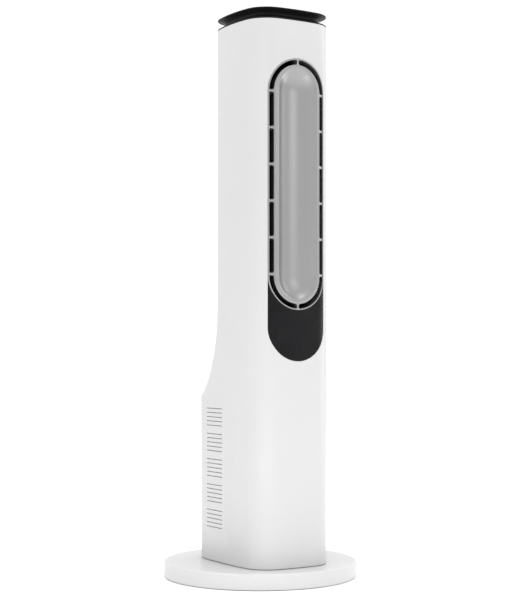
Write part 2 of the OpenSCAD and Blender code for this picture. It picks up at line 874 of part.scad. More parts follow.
module main_board_parts() {
    z = floor_z + 14.6;
    color("black") {
        translate([-30, -60, z]) cube([14, 14, 2]);
        translate([10, -78, z]) cube([22, 8, 12]);
    }
    color("gold") for (x = [-8, 4]) translate([x, -42, z]) cylinder(r = 4, h = 12, $fn = 32);
    color("white") translate([16, -52, z]) cube([12, 6, 8]);
    color("silver") for (p = board_posts) translate([p.x, p.y, z]) screw(screw_r, 8);
}

module oscillation_motor() {
    z = floor_z + floor_t;
    color("silver") difference() {
        union() {
            translate([0, gear_d, z]) cylinder(r = 17.5, h = 18);
            translate([0, gear_d, z - 2]) cylinder(r = 5.5, h = 3);
            translate([-osc_ears - 4, gear_d - 4, z]) cube([2 * osc_ears + 8, 8, 1]);
        }
        translate([0, gear_d, z - 5]) cylinder(r = shaft_r + 0.05, h = 17, $fn = 32);
        for (x = [-1, 1]) translate([x * osc_ears, gear_d, z - 5]) cylinder(r = 1.6, h = 10, $fn = 32);
    }
}

module motor_screws() {
    color("silver") for (x = [-1, 1]) translate([x * osc_ears, gear_d, floor_z + floor_t + 1])
        screw(screw_r, 4);
}

module pinion_shaft() {
    color("silver") translate([0, gear_d, gear_z - 0.5]) cylinder(r = shaft_r, h = 29, $fn = 32);
}

module drive_pinion() {
    n = pinion_teeth;
    color("ivory") translate([0, gear_d, gear_z]) difference() {
        linear_extrude(gear_t) polygon([
            for (i = [0:n - 1]) each tooth(n, gear_slack / 2, 90 + (i + 0.5) * 360 / n)
        ]);
        translate([0, 0, -1]) cylinder(r = pinion_bore, h = gear_t + 2, $fn = 32);
    }
}

// ---- filters ----

module side_filters() {
    color("darkgray") for (x = [-1, 1])
        translate([x * (half_w - wall - 2) - 0.6, slot_y - 3, 62]) cube([1.2, slot_len + 6, 186]);
}

module rear_filter() {
    color("darkgray") translate([-rear_slot_len / 2 - 2, foot_y - wall - 4.2, 62])
        cube([rear_slot_len + 4, 1.2, 186]);
}

base_cover();
base_plate();
ballast_weight();
rubber_feet();
base_screws();
power_inlet();
inlet_pins();
power_board();
power_board_parts();
pivot_post();
pivot_screws();
sector_gear();
glide_ring();
retaining_plate();
retainer_screws();
column_floor();
front_casing();
rear_casing();
top_cap();
top_plate();
cap_screws();
outlet_frame();
outlet_insert();
insert_carrier();
slot_lining();
control_panel();
display_board();
display_lamps();
display_screws();
display_cable();
air_duct();
blower_deck();
isolators();
inlet_bell();
impeller_housing();
diffuser();
motor_mount();
mount_screws();
motor_cover();
stator_core();
stator_windings();
motor_bearings();
main_board();
main_board_parts();
oscillation_motor();
motor_screws();
side_filters();
rear_filter();
casing_screws();
impeller();
impeller_nut();
rotor_bell();
magnet_ring();
motor_shaft();
drive_pinion();
pinion_shaft();
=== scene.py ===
"""Looks of the tower fan: smooth outer shells, procedural finishes, a plain studio and the camera."""
import json
import math

import bmesh
import bpy
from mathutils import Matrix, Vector


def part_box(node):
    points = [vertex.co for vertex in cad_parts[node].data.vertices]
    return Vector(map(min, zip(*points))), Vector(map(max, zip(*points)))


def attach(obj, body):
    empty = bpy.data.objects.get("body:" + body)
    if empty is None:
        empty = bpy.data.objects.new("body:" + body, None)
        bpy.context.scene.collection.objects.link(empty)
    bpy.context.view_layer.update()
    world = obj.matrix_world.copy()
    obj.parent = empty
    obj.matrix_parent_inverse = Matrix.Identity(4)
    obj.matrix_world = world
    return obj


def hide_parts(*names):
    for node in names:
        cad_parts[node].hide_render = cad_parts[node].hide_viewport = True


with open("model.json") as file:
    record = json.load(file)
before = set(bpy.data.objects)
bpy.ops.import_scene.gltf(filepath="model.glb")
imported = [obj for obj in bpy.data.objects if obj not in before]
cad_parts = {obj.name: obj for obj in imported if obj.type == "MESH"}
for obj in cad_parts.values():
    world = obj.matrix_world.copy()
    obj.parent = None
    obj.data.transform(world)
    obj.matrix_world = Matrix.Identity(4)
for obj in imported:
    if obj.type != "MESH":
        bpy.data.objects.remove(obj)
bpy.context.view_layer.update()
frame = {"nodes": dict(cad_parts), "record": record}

nodes = frame["nodes"]
MM = 0.001


# ---------------------------------------------------------------- measures, in millimetres

def box_mm(node):
    """The lowest and the highest corner of a CAD node's box."""
    lo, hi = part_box(node)
    return [c / MM for c in lo], [c / MM for c in hi]


case_lo, case_hi = box_mm("front_casing")
foot_y = box_mm("rear_casing")[1][1]
cap_lo, cap_hi = box_mm("top_cap")
ring_lo, ring_hi = box_mm("outlet_frame")
panel_lo, panel_hi = box_mm("control_panel")
insert_lo, insert_hi = box_mm("outlet_insert")
base_lo, base_hi = box_mm("base_cover")

COL_Z, COL_TOP = case_lo[2], case_hi[2]
HALF_W = case_hi[0]
FRONT_Y, REAR_Y = case_lo[1], cap_hi[1]
FORWARD = -(FRONT_Y + REAR_Y) / 2         # how far the column's middle is in front of the axis
TAIL_DEPTH = foot_y - REAR_Y
WALL = 2.4

# The arcs of the column's section and the tail's curve, which the frame doesn't give
CORNER_R, SIDE_R, FACE_R, SIDE_FLAT = 36.8, 240.0, 310.0, 2.0
FLARE_TOP, FLARE_RISE, FLARE_RUN, TAIL_ROUND = 400.0, 150.0, 79.0, 5.0

RING_R = ring_hi[0]                       # outside of the silver ring
OUT_BOTTOM = ring_lo[2] + RING_R          # centres of the outlet's two arcs
OUT_TOP = ring_hi[2] - RING_R
RING_GAP = 0.2
OPEN_R = RING_R + RING_GAP
PANEL_R = panel_hi[0]
PANEL_BOTTOM = panel_lo[2] + PANEL_R
INSERT_R = insert_hi[0]
RING_FACE = 1.8                           # width of the silver ring, seen from the front
SLOT_OUT_R = RING_R - RING_FACE
RIB_COUNT, RIB_H = 6, 3.0
RIB_LOW, RIB_TOP = OUT_BOTTOM + 3.2, OUT_TOP - 1.0

SLOT_ROWS, SLOT_GROUP, SLOT_PITCH, SLOT_TOP_Z = 29, 5, 6.136, 244.5
SLOT_H, SLOT_Y, SLOT_LEN, REAR_SLOT_LEN = 1.1, -5.0, 45.0, 52.0

# Rounded edges, as points: how far from the end face, and how far in from the side. The panel's are
# how far from its border, and how far below its face.
CASING_FOOT_EDGE = ((0.0, 0.5), (0.2, 0.15), (0.5, 0.0))
CASING_TOP_EDGE = ((0.0, 0.4), (0.12, 0.12), (0.4, 0.0))
CAP_EDGE = ((0.0, 0.5), (0.07, 0.27), (0.25, 0.07), (0.5, 0.0))
CAP_TOP_EDGE = ((0.0, 1.0), (0.06, 0.6), (0.2, 0.28), (0.45, 0.06), (0.7, 0.0))
PANEL_EDGE = ((0.0, 0.7), (0.08, 0.42), (0.25, 0.19), (0.45, 0.06), (0.7, 0.0))

SMOOTH_DEG, ROUND_DEG, CAD_DEG = 35.0, 40.0, 30.0     # edges sharper than this stay sharp


# ---------------------------------------------------------------- the column's cross-section

half_d = (REAR_Y - FRONT_Y) / 2 - SIDE_FLAT / 2
side_cx, face_cy = HALF_W - SIDE_R, half_d - FACE_R
centre_gap = math.hypot(side_cx, face_cy)
gap_x, gap_y = -side_cx / centre_gap, face_cy / centre_gap
along = ((SIDE_R - CORNER_R) ** 2 - (FACE_R - CORNER_R) ** 2 + centre_gap ** 2) / (2 * centre_gap)
across = math.sqrt((SIDE_R - CORNER_R) ** 2 - along ** 2)
corner_cx = side_cx + along * gap_x - across * gap_y
corner_cy = along * gap_y + across * gap_x
SIDE_TURN = math.atan2(corner_cy, corner_cx - side_cx)
FACE_TURN = math.atan2(corner_cy - face_cy, corner_cx)
SEAM = (SIDE_TURN + FACE_TURN) / 2


def quarter(a, t):
    """A point of the first quarter of the section, set in by t, where the outline faces the angle a."""
    if a < SIDE_TURN:
        return side_cx + (SIDE_R - t) * math.cos(a), (SIDE_R - t) * math.sin(a)
    if a < FACE_TURN:
        return corner_cx + (CORNER_R - t) * math.cos(a), corner_cy + (CORNER_R - t) * math.sin(a)
    return (FACE_R - t) * math.cos(a), face_cy + (FACE_R - t) * math.sin(a)


def outline_point(a, half, t, s=0.0):
    """A point of the outline, set in by t: a runs from 0 at +X to pi at -X, and half is 1 behind and
    -1 in front. The rear half moves back by s."""
    x, y = quarter(math.asin(min(1.0, abs(math.sin(a)))), t)
    x = x if math.cos(a) >= 0 else -x
    return x, -FORWARD + half * (SIDE_FLAT / 2 + y) + (s if half > 0 else 0.0)


def soft_min(a, b, r):
    """The lesser of a and b, blended where they are within r of each other."""
    return min(a, b) - max(r - abs(a - b), 0.0) ** 2 / (4 * r)


def tail(z):
    """How far the rear of the column stands back at the height z."""
    h = min(max(FLARE_TOP - z, 0.0), FLARE_RISE)
    flare = FLARE_RUN * (1 - math.sqrt(max(0.0, 1 - (h / FLARE_RISE) ** 2)))
    return soft_min(flare, TAIL_DEPTH, TAIL_ROUND)


def front_surface(x):
    """Y of the column's front surface at x."""
    x = min(abs(x), HALF_W - 0.01)
    edge = FACE_R * math.cos(FACE_TURN)
    if x < edge:
        y = face_cy + math.sqrt(FACE_R ** 2 - x * x)
    else:
        y = corner_cy + math.sqrt(max(0.0, CORNER_R ** 2 - (x - corner_cx) ** 2))
    return -FORWARD - SIDE_FLAT / 2 - y


def spread(a, b, n):
    """The n + 1 numbers from a to b, evenly apart."""
    return [a + (b - a) * i / n for i in range(n + 1)]


def from_low(start, edge):
    return [(start + d, inset) for d, inset in edge]


def to_high(end, edge):
    return [(end - d, inset) for d, inset in reversed(edge)]


QUARTER = (spread(0, SIDE_TURN, 10)[:-1] + spread(SIDE_TURN, FACE_TURN, 48)[:-1]
           + spread(FACE_TURN, math.pi / 2, 10))
HALF = QUARTER + [math.pi - a for a in QUARTER[-2::-1]]


# ---------------------------------------------------------------- mesh building

def new_object(name, verts, faces, smooth=SMOOTH_DEG):
    """A closed mesh object from points in millimetres, shaded smooth up to that angle in degrees."""
    mesh = bpy.data.meshes.new(name)
    mesh.from_pydata([(x * MM, y * MM, z * MM) for x, y, z in verts], [], faces)
    bm = bmesh.new()
    bm.from_mesh(mesh)
    bmesh.ops.remove_doubles(bm, verts=bm.verts, dist=1e-6)
    bmesh.ops.dissolve_degenerate(bm, edges=bm.edges, dist=1e-7)
    bmesh.ops.recalc_face_normals(bm, faces=bm.faces)
    bm.to_mesh(mesh)
    bm.free()
    obj = bpy.data.objects.new(name, mesh)
    bpy.context.scene.collection.objects.link(obj)
    shade(obj, smooth)
    return obj


def shade(obj, angle):
    for p in obj.data.polygons:
        p.use_smooth = True
    obj.data.set_sharp_from_angle(angle=math.radians(angle))


def grid_faces(rows, cols, closed, start=0):
    """Quads between rows of points; closed joins the last column to the first."""
    return [
        (start + r * cols + c, start + r * cols + (c + 1) % cols,
         start + (r + 1) * cols + (c + 1) % cols, start + (r + 1) * cols + c)
        for r in range(rows - 1) for c in range(cols if closed else cols - 1)
    ]


def loft(name, rings, smooth=SMOOTH_DEG, ends=True):
    """A surface through closed rings of points. ends caps the first ring and the last, so a surface whose
    last ring is its first has none."""
    n = len(rings[0])
    faces = grid_faces(len(rings), n, True)
    if ends:
        faces.append(tuple(range(n)))
        faces.append(tuple(range((len(rings) - 1) * n, len(rings) * n)))
    return new_object(name, [p for r in rings for p in r], faces, smooth)


def wall_shell(name, path, levels):
    """A wall along part of the outline. A path entry is (angle, half, inset) and a level is (z, inset)."""
    n = len(path)
    rings = []
    for z, lt in levels:
        s = tail(z)
        outer = [(*outline_point(a, h, max(lt, t), s), z) for a, h, t in path]
        inner = [(*outline_point(a, h, WALL, s), z) for a, h, _ in reversed(path)]
        rings.append(outer + inner)
    faces = grid_faces(len(rings), 2 * n, True)
    for start in (0, (len(rings) - 1) * 2 * n):
        last = start + 2 * n - 1
        faces += [(start + i, start + i + 1, last - i - 1, last - i) for i in range(n - 1)]
    return new_object(name, [p for r in rings for p in r], faces)


def stadium(r, z0, z1, n, m):
    """Points (x, z) round a stadium, whose arcs of radius r are centred at the heights z0 and z1. There are
    n steps on each arc and m on each side."""
    pts = []
    for a in spread(0, math.pi, n):
        pts.append((r * math.cos(a), z1 + r * math.sin(a)))
    for z in spread(z1, z0, m)[1:-1]:
        pts.append((-r, z))
    for a in spread(math.pi, 2 * math.pi, n):
        pts.append((r * math.cos(a), z0 + r * math.sin(a)))
    for z in spread(z0, z1, m)[1:-1]:
        pts.append((r, z))
    return pts


def cut(obj, cutter, smooth=SMOOTH_DEG):
    """Takes the cutter out of obj, for good."""
    mod = obj.modifiers.new("cut", "BOOLEAN")
    mod.operation, mod.solver, mod.object = "DIFFERENCE", "EXACT", cutter
    done = bpy.data.meshes.new_from_object(obj.evaluated_get(bpy.context.evaluated_depsgraph_get()))
    obj.modifiers.clear()
    obj.data = done
    bpy.data.objects.remove(cutter)
    shade(obj, smooth)


def rounded_bars(name, bars, along_x, lo, hi, n=8):
    """Cutters with round ends, one for each (a0, a1, z, height), running from lo to hi along X or Y."""
    verts, faces = [], []
    for a0, a1, z, h in bars:
        r = h / 2
        ring = []
        for centre, turn in ((a1 - r, -math.pi / 2), (a0 + r, math.pi / 2)):
            ring += [(centre + r * math.cos(t), z + r * math.sin(t)) for t in spread(turn, turn + math.pi, n)]
        start, c = len(verts), len(ring)
        for e in (lo, hi):
            verts += [(e, a, b) if along_x else (a, e, b) for a, b in ring]
        faces += grid_faces(2, c, True, start)
        faces += [tuple(range(start, start + c)), tuple(range(start + c, start + 2 * c))]
    return new_object(name, verts, faces)


# ---------------------------------------------------------------- casing

levels = from_low(COL_Z, CASING_FOOT_EDGE)
levels += [(z, 0) for z in spread(FLARE_TOP - FLARE_RISE, FLARE_TOP, 50)]
levels += to_high(COL_TOP, CASING_TOP_EDGE)

# Where the casings meet, each edge is chamfered over the angle SEAM_TURN, to the depth SEAM_CUT
SEAM_TURN, SEAM_CUT = 0.008, 0.35
rear_half = [a for a in HALF if SEAM + SEAM_TURN < a < math.pi - SEAM - SEAM_TURN]
rear_path = ([(SEAM, 1, SEAM_CUT), (SEAM + SEAM_TURN, 1, 0)] + [(a, 1, 0) for a in rear_half]
             + [(math.pi - SEAM - SEAM_TURN, 1, 0), (math.pi - SEAM, 1, SEAM_CUT)])
side_part = [a for a in HALF if a < SEAM - SEAM_TURN]
front_path = ([(math.pi - SEAM, 1, SEAM_CUT), (math.pi - SEAM + SEAM_TURN, 1, 0)]
              + [(math.pi - a, 1, 0) for a in reversed(side_part)]
              + [(a, -1, 0) for a in reversed(HALF)]
              + [(a, 1, 0) for a in side_part] + [(SEAM - SEAM_TURN, 1, 0), (SEAM, 1, SEAM_CUT)])

front_casing = wall_shell("casing_front", front_path, levels)
rear_casing = wall_shell("casing_rear", rear_path, levels)

# The cutter's rings from the front: how far outside the opening, and how deep behind the surface
LIP, LIP_FLARE = 0.7, 0.6                 # radius of the opening's edge, and the cutter's splay before it
CUT_AHEAD, CUT_BEHIND = 5.0, 25.0
lip_rings = [(LIP + LIP_FLARE, -1.0), (LIP, -0.02)]
lip_rings += [(LIP - LIP * math.sin(a), LIP - LIP * math.cos(a)) for a in (0.5, 0.9, 1.25)]
lip_rings += [(0.0, LIP), (0.0, 6.0)]


def opening_ring(e, y):
    """A ring round the opening, e outside it, where y gives the depth at x."""
    return [(x, y(x), z) for x, z in stadium(OPEN_R + e, PANEL_BOTTOM, OUT_TOP, 96, 40)]


opening = loft("opening_cutter", [
    opening_ring(LIP + LIP_FLARE, lambda x: FRONT_Y - CUT_AHEAD),
    *[opening_ring(e, lambda x: front_surface(x) + d) for e, d in lip_rings],
    opening_ring(0.0, lambda x: FRONT_Y + CUT_BEHIND),
])
cut(front_casing, opening)

SIDE_CUT_PAST, REAR_CUT_IN, REAR_CUT_OUT = 2.0, 9.0, 4.0
slot_zs = [SLOT_TOP_Z - i * SLOT_PITCH for i in range(SLOT_ROWS) if i % (SLOT_GROUP + 1) != SLOT_GROUP]
side_bars = [(SLOT_Y, SLOT_Y + SLOT_LEN, z, SLOT_H) for z in slot_zs]
side_end = HALF_W + SIDE_CUT_PAST
cut(front_casing, rounded_bars("side_cutter", side_bars, True, -side_end, side_end))
rear_bars = [(-REAR_SLOT_LEN / 2, REAR_SLOT_LEN / 2, z, SLOT_H) for z in slot_zs]
cut(rear_casing, rounded_bars("rear_cutter", rear_bars, False, foot_y - REAR_CUT_IN, foot_y + REAR_CUT_OUT))

# ---------------------------------------------------------------- cap

CAP_H = cap_hi[2] - cap_lo[2]
FLANGE, WAIST = 1.6, 12.0                 # thickness of each lip, and depth of the waist between them
WAIST_TURN = 1.48                         # the waist's curve runs this far each way, in radians
neck = CAP_H - 2 * FLANGE

cap_levels = from_low(0, CAP_EDGE) + to_high(FLANGE, CAP_EDGE)
for a in spread(-WAIST_TURN, WAIST_TURN, 28):
    cap_levels.append((FLANGE + neck / 2 * (1 + math.sin(a)), WAIST * math.cos(a)))
cap_levels += from_low(FLANGE + neck, CAP_EDGE) + to_high(CAP_H, CAP_TOP_EDGE)
cap_levels += [(CAP_H, 8), (CAP_H, 30)]

whole = [(a, 1) for a in HALF] + [(a, -1) for a in reversed(HALF)]
cap = loft("cap", [[(*outline_point(a, h, t), cap_lo[2] + z) for a, h in whole] for z, t in cap_levels])

# ---------------------------------------------------------------- outlet


def outlet_loop(r, y):
    """A loop round the outlet at the radius r, where y gives the depth at x."""
    return [(x, y(x), z) for x, z in stadium(r, OUT_BOTTOM, OUT_TOP, 72, 60)]


RING_DEPTH, RING_SINK = 15.0, 0.1
RING_EDGE, RING_ARC = 0.45, 0.13          # size of the ring's rounded edges, and their middle point


def make_ring():
    """The silver ring, from points (radius, depth behind the front surface) swept round the outlet."""
    edge_depth, arc_depth = RING_SINK + RING_EDGE, RING_SINK + RING_ARC
    profile = [(SLOT_OUT_R, RING_DEPTH), (SLOT_OUT_R, edge_depth), (SLOT_OUT_R + RING_ARC, arc_depth),
               (SLOT_OUT_R + RING_EDGE, RING_SINK), (RING_R - RING_EDGE, RING_SINK),
               (RING_R - RING_ARC, arc_depth), (RING_R, edge_depth), (RING_R, RING_DEPTH)]
    loops = [outlet_loop(r, lambda x: front_surface(x) + d) for r, d in profile]
    return loft("outlet_ring", loops + [loops[0]], ends=False)


RIB_FILLET, RIB_DEEP, RIB_SET_IN = 2.6, 13.0, 1.3
RIB_INTO_INSERT, RIB_INTO_RING = 0.25, 0.4
# Half of the bar's section: share of its half width, and depth behind the front surface
rib_side = ((1, RIB_DEEP), (1, RIB_SET_IN + 0.5), (0.93, RIB_SET_IN + 0.12), (0.8, RIB_SET_IN))
RIB_SECTION = [(-w, d) for w, d in rib_side] + list(reversed(rib_side))


def add_rib(verts, faces, height, along, out):
    """A bar across the slot, from the insert to the ring, that widens in a fillet at both ends."""
    first, last = INSERT_R - RIB_INTO_INSERT, SLOT_OUT_R + RIB_INTO_RING
    start = len(verts)
    for turn in spread(0, math.pi, 16):
        r = first + (last - first) * (1 - math.cos(turn)) / 2
        near = max(0.0, min(r - INSERT_R, SLOT_OUT_R - r))
        half = RIB_H / 2 + RIB_FILLET - math.sqrt(RIB_FILLET ** 2 - max(0.0, RIB_FILLET - near) ** 2)
        for w, d in RIB_SECTION:
            x = out[0] * r + along[0] * w * half
            z = height + out[1] * r + along[1] * w * half
            verts.append((x, front_surface(x) + d, z))
    c = len(RIB_SECTION)
    end = len(verts) - c
    faces += grid_faces((len(verts) - start) // c, c, True, start)
    faces += [tuple(range(start, start + c)), tuple(range(end, end + c))]


def make_ribs():
    verts, faces = [], []
    for z in spread(RIB_LOW, RIB_TOP, RIB_COUNT - 1):
        for side in (-1, 1):
            add_rib(verts, faces, z, (0, 1), (side, 0))
    add_rib(verts, faces, OUT_BOTTOM, (1, 0), (0, -1))
    add_rib(verts, faces, OUT_TOP, (1, 0), (0, 1))
    return new_object("outlet_ribs", verts, faces)


DISH_R, DISH_DEPTH = 48.0, 14.5           # the hollow's radius, and its depth behind the column's front
RIM_SINK, RIM_BLEND = 0.6, 4.5            # the rim is set in, and blends into the hollow
LAND, INSERT_WALL = 2.4, 2.2              # the silver reaches LAND behind the front surface
INSERT_BACK = insert_hi[1]
INSERT_EDGE = ((0.6, 0.08), (0.3, 0.25), (0.1, 0.5), (0.0, 0.9))     # how far inside, and how deep
FACE_MARGIN = 1.2                         # the face's even rings stop this far inside the rim
RIM_RINGS = (8.2, 7.6, 7, 6.4, 5.8, 5.2, 4.6, 4, 3.4, 1.1)


def dish(rho, x):
    """Depth of the insert's face: the bowed rim, or the hollow where that is deeper."""
    rim = front_surface(x) + RIM_SINK
    hollow = FRONT_Y + DISH_DEPTH - DISH_R + math.sqrt(DISH_R ** 2 - rho ** 2)
    return -soft_min(-rim, -hollow, RIM_BLEND)


def land(x):
    return front_surface(x) + LAND


def make_dish():
    """The insert's silver face, with its wall behind. RIM_RINGS are extra rings where the rim turns in."""
    radii = [INSERT_R * math.sin(a) for a in spread(0, math.pi / 2, 40)]
    radii = [r for r in radii if r < INSERT_R - FACE_MARGIN]
    radii = sorted(radii + [INSERT_R - c for c in RIM_RINGS])
    loops = [outlet_loop(r, lambda x: dish(r, x)) for r in radii]
    loops += [outlet_loop(INSERT_R - e, lambda x: dish(INSERT_R - e, x) + d) for e, d in INSERT_EDGE]
    loops += [outlet_loop(r, land) for r in (INSERT_R, INSERT_R - INSERT_WALL)]
    back = [r for r in radii if r <= INSERT_R - INSERT_WALL]
    loops += [outlet_loop(r, lambda x: dish(r, x) + INSERT_WALL) for r in reversed(back)]
    return loft("outlet_dish", loops, ROUND_DEG, ends=False)


def make_skirt():
    """The insert's dark side wall, behind its silver face."""
    inner = INSERT_R - INSERT_WALL
    corners = ((INSERT_R, land), (INSERT_R, lambda x: INSERT_BACK), (inner, lambda x: INSERT_BACK),
               (inner, land), (INSERT_R, land))
    return loft("outlet_skirt", [outlet_loop(r, y) for r, y in corners], ROUND_DEG, ends=False)


outlet_ring = make_ring()
outlet_ribs = make_ribs()
insert = make_dish()
skirt = make_skirt()

# ---------------------------------------------------------------- control panel

PANEL_IN, PANEL_T = 0.5, 2.4              # how far it is set in, and its thickness


def panel_steps(length, n):
    """Places from 0 to length, with rounded edges at both ends: (place, depth)."""
    edge = PANEL_EDGE[-1][0]
    middle = [(edge + (length - 2 * edge) * i / n, 0) for i in range(1, n)]
    return from_low(0, PANEL_EDGE) + middle + to_high(length, PANEL_EDGE)


def make_panel():
    """The panel's front and back as two grids of columns, joined round their border."""
    front, back = [], []
    for p, dx in panel_steps(2 * PANEL_R, 60):
        x = p - PANEL_R
        x_in = min(abs(x), PANEL_R - 1e-6)
        top = OUT_BOTTOM - math.sqrt(OPEN_R ** 2 - x_in ** 2)
        low = PANEL_BOTTOM - math.sqrt(PANEL_R ** 2 - x_in ** 2)
        y = front_surface(x) + PANEL_IN
        steps = panel_steps(top - low, 24)
        front += [(x, y + max(dx, dz), low + q) for q, dz in steps]
        back += [(x, y + PANEL_T, low + q) for q, _ in steps]
    rows, total = len(steps), len(front)
    cols = total // rows
    faces = grid_faces(cols, rows, False)
    faces += [tuple(reversed(f)) for f in grid_faces(cols, rows, False, total)]
    border = [(i, 0) for i in range(cols)] + [(cols - 1, j) for j in range(1, rows)]
    border += [(i, rows - 1) for i in range(cols - 2, -1, -1)] + [(0, j) for j in range(rows - 2, 0, -1)]
    ids = [i * rows + j for i, j in border]
    faces += [(a, b, b + total, a + total) for a, b in zip(ids, ids[1:] + ids[:1])]
    return new_object("touch_panel", front + back, faces)


panel = make_panel()

# ---------------------------------------------------------------- base

BASE_R, BASE_TOP, BASE_LOW = base_hi[0], base_hi[2], base_lo[2]
WELL_R, BASE_WALL, BASE_E = 51.0, 2.5, 2.0
WELL_EDGE, WELL_ARC = 0.5, 0.15           # size of a rounded edge, and its middle point
LOW_EDGE, LOW_ARC = 0.8, 0.23
TOP_RINGS = (90, BASE_R - BASE_E - 6)     # extra rings on the flat top, which keep its shading flat
INLET_HALF_W, INLET_Z, INLET_H = 9.3, 12, 12.6
INLET_CUT_IN, INLET_CUT_OUT = 120, 145


def make_base():
    """The disc's shell, turned from points (radius, height), with a window for the power inlet."""
    inside = BASE_R - BASE_WALL
    profile = [(WELL_R, BASE_TOP - BASE_WALL), (WELL_R, BASE_TOP - WELL_EDGE),
               (WELL_R + WELL_ARC, BASE_TOP - WELL_ARC), (WELL_R + WELL_EDGE, BASE_TOP),
               *[(r, BASE_TOP) for r in TOP_RINGS]]
    profile += [(BASE_R - BASE_E + BASE_E * math.sin(a), BASE_TOP - BASE_E + BASE_E * math.cos(a))
                for a in spread(0, math.pi / 2, 10)]
    profile += [(BASE_R, BASE_LOW + LOW_EDGE), (BASE_R - LOW_ARC, BASE_LOW + LOW_ARC),
                (BASE_R - LOW_EDGE, BASE_LOW), (inside, BASE_LOW), (inside, BASE_TOP - BASE_WALL)]
    turns = spread(0, 2 * math.pi, 256)[:-1]
    rings = [[(r * math.cos(t), r * math.sin(t), z) for t in turns] for r, z in profile]
    shell = loft("base_shell", rings + [rings[0]], ROUND_DEG, ends=False)
    window = [(-INLET_HALF_W, INLET_HALF_W, INLET_Z, INLET_H)]
    cut(shell, rounded_bars("inlet_cutter", window, False, INLET_CUT_IN, INLET_CUT_OUT, 16), ROUND_DEG)
    return shell


base = make_base()

# ---------------------------------------------------------------- finishes

IOR = 1.46                                # of moulded plastic and of lacquer


class Finish:
    """A material's node tree, built round one Principled shader, with textures in the object's metres."""

    def __init__(self, name, colour, roughness, metallic=0.0, coat=0.0, coat_rough=0.05):
        self.m = bpy.data.materials.new(name)
        self.m.use_nodes = True
        self.t = self.m.node_tree
        self.b = self.t.nodes["Principled BSDF"]
        self.b.inputs["Base Color"].default_value = (*colour, 1)
        self.b.inputs["Roughness"].default_value = roughness
        self.b.inputs["Metallic"].default_value = metallic
        self.b.inputs["Coat Weight"].default_value = coat
        self.b.inputs["Coat Roughness"].default_value = coat_rough
        self.b.inputs["IOR"].default_value = IOR
        self.colour = colour
        self.where = self.t.nodes.new("ShaderNodeTexCoord").outputs["Object"]

    def add(self, kind, **values):
        """A node with its properties, or the values of its inputs, set."""
        n = self.t.nodes.new(kind)
        for key, v in values.items():
            if hasattr(n, key):
                setattr(n, key, v)
            else:
                n.inputs[key.replace("_", " ")].default_value = v
        return n

    def link(self, a, b):
        self.t.links.new(a, b)

    def stretch(self, x, y, z):
        m = self.add("ShaderNodeMapping")
        m.inputs["Scale"].default_value = (x, y, z)
        self.link(self.where, m.inputs["Vector"])
        return m.outputs[0]

    def noise(self, scale, detail=3.0, rough=0.5, vector=None):
        n = self.add("ShaderNodeTexNoise", Scale=scale, Detail=detail, Roughness=rough)
        self.link(vector or self.where, n.inputs["Vector"])
        return n.outputs["Fac"]

    def span(self, value, lo, hi, a=0.3, b=0.7):
        """value, taken from the range a to b onto the range lo to hi."""
        n = self.add("ShaderNodeMapRange")
        for key, v in (("From Min", a), ("From Max", b), ("To Min", lo), ("To Max", hi)):
            n.inputs[key].default_value = v
        self.link(value, n.inputs["Value"])
        return n.outputs[0]

    def vary_colour(self, value, other):
        n = self.add("ShaderNodeMix", data_type="RGBA")
        n.inputs[6].default_value = (*self.colour, 1)
        n.inputs[7].default_value = (*other, 1)
        self.link(value, n.inputs["Factor"])
        self.link(n.outputs[2], self.b.inputs["Base Color"])

    def vary_rough(self, value, lo, hi):
        self.link(self.span(value, lo, hi), self.b.inputs["Roughness"])

    def bump(self, value, height_mm, strength=1.0):
        n = self.add("ShaderNodeBump")
        n.inputs["Strength"].default_value = strength
        n.inputs["Distance"].default_value = height_mm * MM
        self.link(value, n.inputs["Height"])
        self.link(n.outputs[0], self.b.inputs["Normal"])


def gloss_white():
    f = Finish("gloss_white", (0.57, 0.57, 0.572), 0.38, coat=0.08, coat_rough=0.25)
    cloud = f.noise(9, 2)
    f.vary_colour(f.span(cloud, 0, 1), (0.56, 0.56, 0.562))
    f.vary_rough(f.noise(60, 3), 0.36, 0.41)
    f.bump(f.noise(420, 2), 0.002)
    return f.m


def satin_black():
    f = Finish("satin_black", (0.006, 0.006, 0.007), 0.5)
    f.b.inputs["Specular IOR Level"].default_value = 0.2
    f.vary_colour(f.span(f.noise(14, 2), 0, 1), [c * 1.5 for c in f.colour])
    f.vary_rough(f.noise(80, 3), 0.46, 0.54)
    f.bump(f.noise(1500, 2, 0.6), 0.02, 0.5)
    return f.m


def gloss_black():
    f = Finish("gloss_black", (0.008, 0.008, 0.009), 0.28)
    f.b.inputs["Specular IOR Level"].default_value = 0.1
    f.vary_colour(f.span(f.noise(25, 3), 0, 1), (0.013, 0.013, 0.014))
    f.vary_rough(f.noise(120, 3), 0.25, 0.31)
    f.bump(f.noise(300, 1), 0.002)
    return f.m


def satin_silver():
    f = Finish("satin_silver", (0.30, 0.30, 0.30), 0.30, metallic=0.85, coat=0.1, coat_rough=0.3)
    fleck = f.noise(2600, 1, 0.7)
    f.vary_colour(f.span(fleck, 0, 1), (0.35, 0.35, 0.347))
    f.vary_rough(f.noise(40, 3), 0.28, 0.32)
    f.bump(fleck, 0.006, 0.4)
    return f.m


def plain(name, colour, rough, other=None, metallic=0.0, grain=900, depth=0.015):
    """A plain moulding: soft clouds of the other colour, and a fine grain of that depth in millimetres."""
    f = Finish(name, colour, rough, metallic=metallic)
    f.vary_colour(f.span(f.noise(30, 3), 0, 1), other or [c * 0.86 for c in colour])
    f.vary_rough(f.noise(90, 3), rough * 0.85, rough * 1.15)
    f.bump(f.noise(grain, 2, 0.6), depth, 0.5)
    return f.m


